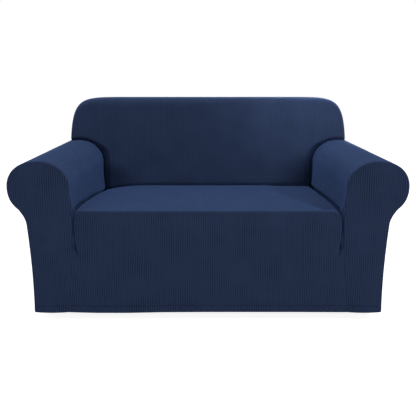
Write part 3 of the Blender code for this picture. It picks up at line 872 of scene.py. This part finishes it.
def roll_top(x, y):
    """Height of an arm's roll over this place, from its section's ellipse, and level beyond its sides."""
    off = np.abs(x) - ROLL_X - ROLL_X_RUN * y
    power = np.where(off > 0, ROLL_OUTER_POWER, ROLL_INNER_POWER)
    part = np.clip(np.abs(off) / np.where(off > 0, ROLL_OUTER_WIDTH, ROLL_INNER_WIDTH), 0.0, 1.0)
    return ROLL_Z + ROLL_Z_RUN * y + ROLL_HALF_HEIGHT * (1.0 - part**power) ** (1.0 / power)


def from_arm(x, y, z):
    """Roughly how far a point of the back is from the inner side of the arm: its distance from the roll's
    axis in the roll's own radii, less one, times the inner radius."""
    off = (np.abs(x) - ROLL_X - ROLL_X_RUN * y) / ROLL_INNER_WIDTH
    above = np.maximum(z - ROLL_Z - ROLL_Z_RUN * y, 0.0) / ROLL_HALF_HEIGHT
    return (np.hypot(off, above) - 1.0) * ROLL_INNER_WIDTH


def rib_side_term(start, rise):
    """Side term of the back's outline along a rib, from its share of the half width at the foot and the
    outline's top term. Past the corner it shrinks as the outline narrows, which keeps the rib upright on
    the side, and a little less near the top, so that it runs out into the seam."""
    held = smooth((start - BACK_RIB_HELD_FROM) / BACK_RIB_HELD_RUN)
    return start**BACK_SIDE_POWER * (1.0 - held * (rise - BACK_RIB_FAN * rise**BACK_TURN_POWER))


def rib_x(start, z):
    """How far from the middle a rib of the back is at this height: the half width times a root of the
    outline's side term there."""
    rise = (np.maximum(z - BACK_BASE_Z, 0.0) / (BACK_TOP_Z - BACK_BASE_Z)) ** BACK_TOP_POWER
    return BACK_HALF_WIDTH * rib_side_term(start, rise) ** (1.0 / BACK_SIDE_POWER)


# Ribs are a pitch apart round the back at about the arms' height; steps along it get finer to the seam
section_step = np.linspace(1.0, 0.0, SECTION_SAMPLES)
section_x = rib_x(1.0 - section_step**BACK_TURN_POWER, BACK_SECTION_Z)
section = lengths_along(np.stack([section_x, back_y(section_x, BACK_SECTION_Z)], axis=-1))
back_ribs = rib_places(-section[-1] + BACK_SEAM_MARGIN, section[-1] - BACK_SEAM_MARGIN)
back_side = np.sign(back_ribs)
back_start = 1.0 - np.interp(np.abs(back_ribs), section, section_step) ** BACK_TURN_POWER

# Low end of each rib: under the seat, or in an arm's roll, whose height there depends on the end itself
back_seat_z = SEAT_Z - BACK_SEAT_TUCK
back_low = np.full(len(back_ribs), BACK_LOW_GUESS)
for _ in range(BACK_LOW_PASSES):
    low_x = rib_x(back_start, back_low)
    over_arm = roll_top(low_x, back_y(low_x, back_low)) - BACK_IN_ARM
    low_rise = smooth((low_x - BACK_OVER_ARM_X) / BACK_OVER_ARM_RUN)
    back_low = back_seat_z + (over_arm - back_seat_z) * low_rise

# Top end of each rib, on the outline: halving the range of the outline's top term that holds it
below, above = np.zeros(len(back_ribs)), np.ones(len(back_ribs))
for _ in range(HALVINGS):
    middle = (below + above) / 2
    outside = rib_side_term(back_start, middle) + middle > 1.0
    below, above = np.where(outside, below, middle), np.where(outside, middle, above)
back_top_z = BACK_BASE_Z + (BACK_TOP_Z - BACK_BASE_Z) * below ** (1.0 / BACK_TOP_POWER)
back_up = 1.0 - np.linspace(1.0, 0.0, BACK_SAMPLES)[:, None] ** BACK_TURN_POWER
back_z = back_low + (back_top_z - back_low) * back_up
back_x = back_side * rib_x(back_start, back_z)
back_lines = np.stack([back_x, back_y(back_x, back_z), back_z], axis=-1)
back_rows = rows_over(BACK_HEIGHT, BACK_STEP)
back_grid = resampled(back_lines, back_rows / BACK_HEIGHT)
back_off = from_arm(*np.moveaxis(back_grid, -1, 0))
back_beside = smooth((BACK_BESIDE_Z - back_grid[..., 2]) / BACK_BESIDE_RUN)
crease_depth, crease_width = (on_top + (beside - on_top) * back_beside for on_top, beside in BACK_CREASES)
back_fall = crease_depth * np.clip(1.0 - back_off / crease_width, 0.0, 1.0) ** BACK_CREASE_POWER
back_seat_x = np.clip(back_grid[..., 0], -BACK_SEAT_X, BACK_SEAT_X)
back_above_seat = back_grid[..., 2] - (SEAT_Z + SEAT_REAR_RISE + side_lift(back_seat_x, SEAT_DEPTH))
back_fall = back_fall + rounding(back_above_seat + BACK_FOOT_LOWER, BACK_FOOT_DEPTH, BACK_FOOT_ROUND)
for sign, depth, inwards, upwards in BACK_HOLLOWS:
    back_in = (BACK_CORNER_X - sign * back_grid[..., 0]) / inwards
    back_above = (back_grid[..., 2] - BACK_CORNER_Z) / upwards
    back_fall = back_fall + depth * smooth(1.0 - np.hypot(*np.maximum((back_in, back_above), 0.0)))
back_grid[..., 1] = np.minimum(back_grid[..., 1] + back_fall, REAR_Y - EDGE_ROUND)
inside_back = knit_sheet("inside_back_cloth", back_grid, back_ribs, 0.0, edges=("start", "end"))
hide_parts("inside_back")


# ---- Outside back
# One panel over the whole rear, from the hem to the top of the back, as wide as the arms behind.

REAR_CROWN = 0.006
REAR_STEP = 0.013
RIM_CLEAR = 0.001

# Outline: up an arm, over its roll as far as the back's side, and from there round the back's corner
rim_out = (BACK_HALF_WIDTH - ROLL_X - ROLL_X_RUN * REAR_Y) / ROLL_OUTER_WIDTH
rim_angle = math.acos(rim_out ** (ROLL_OUTER_POWER / 2))
rim_turn = np.linspace(0.0, math.pi / 2, SECTION_SAMPLES)
rim_x = BACK_HALF_WIDTH * np.cos(rim_turn) ** (2 / BACK_SIDE_POWER)
rim_z = BACK_BASE_Z + (BACK_TOP_Z - BACK_BASE_Z) * np.sin(rim_turn) ** (2 / BACK_TOP_POWER)
rim = np.stack([rim_x, rim_z], axis=-1)
rear_arm = outer_outline(REAR_Y, rim_angle)
rear_corner = rim[(rim_z > rear_arm[-1, 1] + RIM_CLEAR) & (rim_turn <= math.pi / 4)]
rear_right = np.concatenate([rear_arm, rear_corner])
rear_rows = outline_rows(rear_right, REAR_STEP)
rear_right = along(rear_right, rear_rows)
half_top = rim[rim_turn >= math.pi / 4]
rear_ribs = rib_places(-REAR_HEM_X, REAR_HEM_X)
rear_across = (rear_ribs / REAR_HEM_X + 1.0) / 2.0
rear_top = along(np.concatenate([half_top * (-1.0, 1.0), half_top[-2::-1]]), rear_across)
rear_radii = np.full(2 * len(rear_rows) + len(rear_across) - 2, EDGE_ROUND)
outside_back = rimmed_sheet(
    "outside_back_cloth",
    rear_right * (-1.0, 1.0),
    rear_top,
    rear_right,
    rear_across,
    rear_rows,
    REAR_Y,
    REAR_CROWN,
    rear_radii,
    np.full(len(rear_radii), -SEAM_ALLOWANCE),
    ribs=rear_ribs,
)
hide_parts("outside_back")


# ---- Hem stitches
# One row of machine stitches all the way round, 26 mm above the hem's edge, in thread of the cloth's navy.
# Each stitch is drawn into the knit at both its ends.

STITCH_PITCH = 0.0042
STITCH_HALF_LENGTH = 0.0016
STITCH_HALF_WIDTH = 0.0005
STITCH_RISE = 0.0004
STITCH_SUNK = 0.0005
STITCH_SAMPLES = 60
STITCH_SEAM_CLEAR = 0.003
STITCH_CORNER_CLEAR = 0.007
THREAD_COLOUR = (0.024, 0.040, 0.088, 1.0)

# Rings of a stitch: place in half lengths, rise, width; and the four corners of each: up, outwards
STITCH_RINGS = ((-1.0, -1.0, 0.6), (-0.5, 0.7, 1.0), (0.5, 0.7, 1.0), (1.0, -1.0, 0.6))
STITCH_CORNERS = ((1.0, 0.0), (0.0, 1.0), (-1.0, 0.0), (0.0, -1.0))

stitch_z = HEM_Z + HEM_DEPTH
stitch_row = np.argmin(np.abs(apron_rows[:, 0] - stitch_z))
stitch_share = np.linspace(0.0, 1.0, STITCH_SAMPLES)
stitch_swell = 4.0 * stitch_share * (1.0 - stitch_share)
stitch_front_run = ARM_HEM_X - seam_x(stitch_z) - (STITCH_SEAM_CLEAR + STITCH_CORNER_CLEAR)
stitch_front_x = seam_x(stitch_z) + STITCH_SEAM_CLEAR + stitch_front_run * stitch_share
stitch_front_z = np.full(STITCH_SAMPLES, stitch_z - hem_drop(1.0, stitch_z))
stitch_front = np.stack([stitch_front_x, -ARM_FRONT_CROWN * stitch_swell, stitch_front_z], axis=-1)
stitch_side = side_grid[np.argmin(np.abs(side_rows[:, 0] - stitch_z)), :: 4 * len(RIB_PLACES)]
stitch_rear_x = (REAR_HEM_X - STITCH_CORNER_CLEAR) * (1.0 - 2.0 * stitch_share)
stitch_rear_y = REAR_Y + REAR_CROWN * stitch_swell
stitch_rear = np.stack([stitch_rear_x, stitch_rear_y, np.full(STITCH_SAMPLES, stitch_z)], axis=-1)
stitch_right = np.concatenate([stitch_front, stitch_side])
stitch_left = stitch_right[::-1] * (-1.0, 1.0, 1.0)
stitch_apron = apron_grid[stitch_row, len(RIB_PLACES) : -len(RIB_PLACES)]
stitch_path = np.concatenate([stitch_apron, stitch_right, stitch_rear, stitch_left])
stitch_count = int(lengths_along(stitch_path)[-1] / STITCH_PITCH)
stitch_middle = along(stitch_path, (np.arange(stitch_count) + 0.5) / stitch_count)
stitch_along = along(stitch_path, (np.arange(stitch_count) + 0.7) / stitch_count) - stitch_middle
stitch_along = stitch_along / np.linalg.norm(stitch_along, axis=-1, keepdims=True)
stitch_out = np.cross(stitch_along, (0.0, 0.0, 1.0))
stitch_points = []
for place, rise, size in STITCH_RINGS:
    middle = stitch_middle + place * STITCH_HALF_LENGTH * stitch_along
    middle = middle + (rise * STITCH_RISE - STITCH_SUNK) * stitch_out
    for up, outwards in STITCH_CORNERS:
        offset = up * np.array((0.0, 0.0, 1.0)) + outwards * stitch_out
        stitch_points.append(middle + size * STITCH_HALF_WIDTH * offset)
stitch_points = np.stack(stitch_points, axis=1).reshape(-1, 3)
stitch_ring = np.array([(i, (i + 1) % 4, (i + 1) % 4 + 4, i + 4) for i in range(4)])
stitch_ends = [[3, 2, 1, 0], [12, 13, 14, 15]]
stitch_faces = np.concatenate([stitch_ring, stitch_ring + 4, stitch_ring + 8, stitch_ends])
stitch_faces = (stitch_faces[None] + 16 * np.arange(stitch_count)[:, None, None]).reshape(-1, 4)
stitch_mesh = bpy.data.meshes.new("hem_stitches")
stitch_mesh.from_pydata((stitch_points - UNDER_TOP).tolist(), [], stitch_faces[:, ::-1].tolist())
stitch_mesh.shade_smooth()
thread = bpy.data.materials.new("navy_thread")
thread.use_nodes = True
thread_tree = thread.node_tree
thread_shader = thread_tree.nodes["Principled BSDF"]
thread_shader.inputs["Roughness"].default_value = 0.7
thread_shader.inputs["Specular IOR Level"].default_value = 0.25
thread_place = thread_tree.nodes.new("ShaderNodeTexCoord")
# The thread's colour varies at random in fine noise, towards the same near-black as the knit's painted
# groove shade
thread_tone = thread_tree.nodes.new("ShaderNodeTexNoise")
thread_tone.inputs["Scale"].default_value = 900.0
thread_mix = thread_tree.nodes.new("ShaderNodeMix")
thread_mix.data_type = "RGBA"
thread_mix.inputs[6].default_value = THREAD_COLOUR
thread_mix.inputs[7].default_value = (*GROOVE_SHADE_COLOUR, 1.0)
thread_tree.links.new(thread_place.outputs["Object"], thread_tone.inputs["Vector"])
thread_tree.links.new(thread_tone.outputs["Fac"], thread_mix.inputs[0])
thread_tree.links.new(thread_mix.outputs[2], thread_shader.inputs["Base Color"])
stitch_mesh.materials.append(thread)
hem_stitches = placed("hem_stitches", stitch_mesh)
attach(hem_stitches, "root")


# ---- Studio
# Plain pale floor and a white surround. Light is broad and soft from overhead and from both sides in
# front, stronger on the right, and one narrow beam falls on the right of the back.

FLOOR_HALF = 6.0
WHITE = (1.0, 1.0, 1.0, 1.0)
FLOOR_GLOW = 0.9
SURROUND = 0.30
PAPER = (0.9, 0.9, 0.9, 1.0)

floor_mesh = bpy.data.meshes.new("studio_floor")
floor_corners = [(-1, -1), (1, -1), (1, 1), (-1, 1)]
floor_points = [(x * FLOOR_HALF, y * FLOOR_HALF, -UNDER_TOP[2]) for x, y in floor_corners]
floor_mesh.from_pydata(floor_points, [], [(0, 1, 2, 3)])
paper = bpy.data.materials.new("studio_paper")
paper.use_nodes = True
paper_tree = paper.node_tree
paper_shader = paper_tree.nodes["Principled BSDF"]
paper_shader.inputs["Base Color"].default_value = PAPER
paper_shader.inputs["Roughness"].default_value = 1.0
paper_shader.inputs["Emission Color"].default_value = WHITE
paper_seen = paper_tree.nodes.new("ShaderNodeLightPath")
paper_glow = paper_tree.nodes.new("ShaderNodeMath")
paper_glow.operation = "MULTIPLY"
paper_glow.inputs[1].default_value = FLOOR_GLOW
paper_tree.links.new(paper_seen.outputs["Is Camera Ray"], paper_glow.inputs[0])
paper_tree.links.new(paper_glow.outputs[0], paper_shader.inputs["Emission Strength"])
floor_mesh.materials.append(paper)
floor = placed("studio_floor", floor_mesh)

world = bpy.data.worlds.new("studio_surround")
world.use_nodes = True
world_tree = world.node_tree
surround = world_tree.nodes["Background"]
surround.inputs["Strength"].default_value = SURROUND
surround.inputs["Color"].default_value = WHITE
seen = world_tree.nodes.new("ShaderNodeBackground")
seen.inputs["Color"].default_value = WHITE
rays = world_tree.nodes.new("ShaderNodeLightPath")
choice = world_tree.nodes.new("ShaderNodeMixShader")
world_tree.links.new(rays.outputs["Is Camera Ray"], choice.inputs[0])
world_tree.links.new(surround.outputs[0], choice.inputs[1])
world_tree.links.new(seen.outputs[0], choice.inputs[2])
world_tree.links.new(choice.outputs[0], world_tree.nodes["World Output"].inputs[0])
bpy.context.scene.world = world

# Lights: name, place, point it faces, width, height, power
LIGHTS = (
    ("overhead", (0.0, -0.4, 2.4), (0.0, -0.4, -0.4), 3.0, 2.4, 38.0),
    ("front_left", (-2.6, -3.0, 2.4), (0.0, -0.3, -0.4), 1.6, 1.6, 7.0),
    ("front_right", (2.6, -3.0, 2.4), (0.0, -0.3, -0.4), 1.6, 1.6, 32.0),
    ("on_back_right", (-1.5, -3.4, 1.3), (0.52, 0.0, -0.06), 0.4, 0.4, 0.38),
)
BEAM_UNDER_WIDTH = 0.5
BEAM_SPREAD = math.radians(10)
for name, place, target, width, height, power in LIGHTS:
    lamp = bpy.data.lights.new(name, "AREA")
    lamp.shape = "RECTANGLE"
    lamp.size, lamp.size_y, lamp.energy = width, height, power
    if width < BEAM_UNDER_WIDTH:
        lamp.spread = BEAM_SPREAD
    light = placed(name, lamp)
    light.location = place
    offset = np.array(target) - np.array(place)
    yaw, reach = math.atan2(-offset[0], offset[1]), math.hypot(offset[0], offset[1])
    light.rotation_euler = (math.atan2(reach, -offset[2]), 0.0, yaw)

# Camera, fitted to the photograph's straight edges: focal length, sensor, place and tilt downwards
FOCAL_LENGTH = 51.923
SENSOR_WIDTH = 36.0
CAMERA_PLACE = (0.0, -3.076, 0.052)
CAMERA_TILT = 0.197
lens = bpy.data.cameras.new("camera")
lens.lens = FOCAL_LENGTH
lens.sensor_width = SENSOR_WIDTH
camera = placed("camera", lens)
camera.location = CAMERA_PLACE
camera.rotation_euler = (math.pi / 2 - CAMERA_TILT, 0.0, 0.0)
bpy.context.scene.camera = camera
bpy.context.scene.view_settings.view_transform = "Standard"
